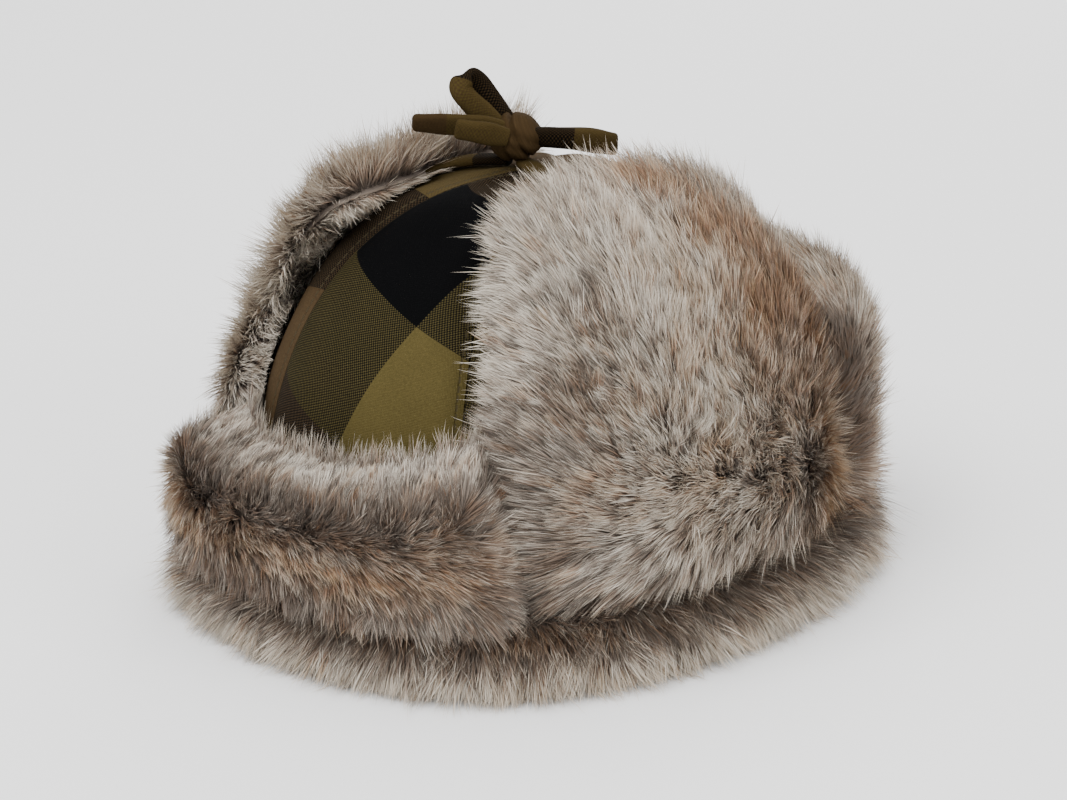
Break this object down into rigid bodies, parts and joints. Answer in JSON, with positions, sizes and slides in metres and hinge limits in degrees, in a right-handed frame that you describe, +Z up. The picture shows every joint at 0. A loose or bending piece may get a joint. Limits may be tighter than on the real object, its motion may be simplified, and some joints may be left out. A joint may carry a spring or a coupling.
{
  "type": "fur hat",
  "caption": "Trapper hat with a checked cloth crown and a deep fur brim, visor, neck flap and ear flaps, the flaps turned up and tied over the crown in a bow.",
  "frame": {"origin": "the middle of the hat's box, on the surface that the hat stands on", "axes": "+Z up; the visor faces -Y, and +X is the wearer's left"},
  "size_m": [0.2454, 0.281, 0.1836],
  "materials": {
    "checked_cloth": "matt woven wool check",
    "dusky_fur": "long faux fur, dark roots and pale tips",
    "pale_fur": "long faux fur, dark roots and pale tips",
    "tie_cloth": "matt woven wool"
  },
  "bodies": {
    "root": {"crown_panel_front": "checked_cloth", "crown_panel_front_left": "checked_cloth", "crown_panel_back_left": "checked_cloth", "crown_panel_back": "checked_cloth", "crown_panel_back_right": "checked_cloth", "crown_panel_front_right": "checked_cloth", "fur_roll": "dusky_fur", "visor": "dusky_fur", "neck_flap": "dusky_fur", "ear_flap_left": "pale_fur", "ear_flap_right": "pale_fur", "tie_left": "tie_cloth", "tie_right": "tie_cloth", "bow_knot": "tie_cloth", "bow_loop_left": "tie_cloth", "bow_loop_right": "tie_cloth", "bow_end_long": "tie_cloth", "bow_end_short": "tie_cloth"}
  },
  "joints": []
}
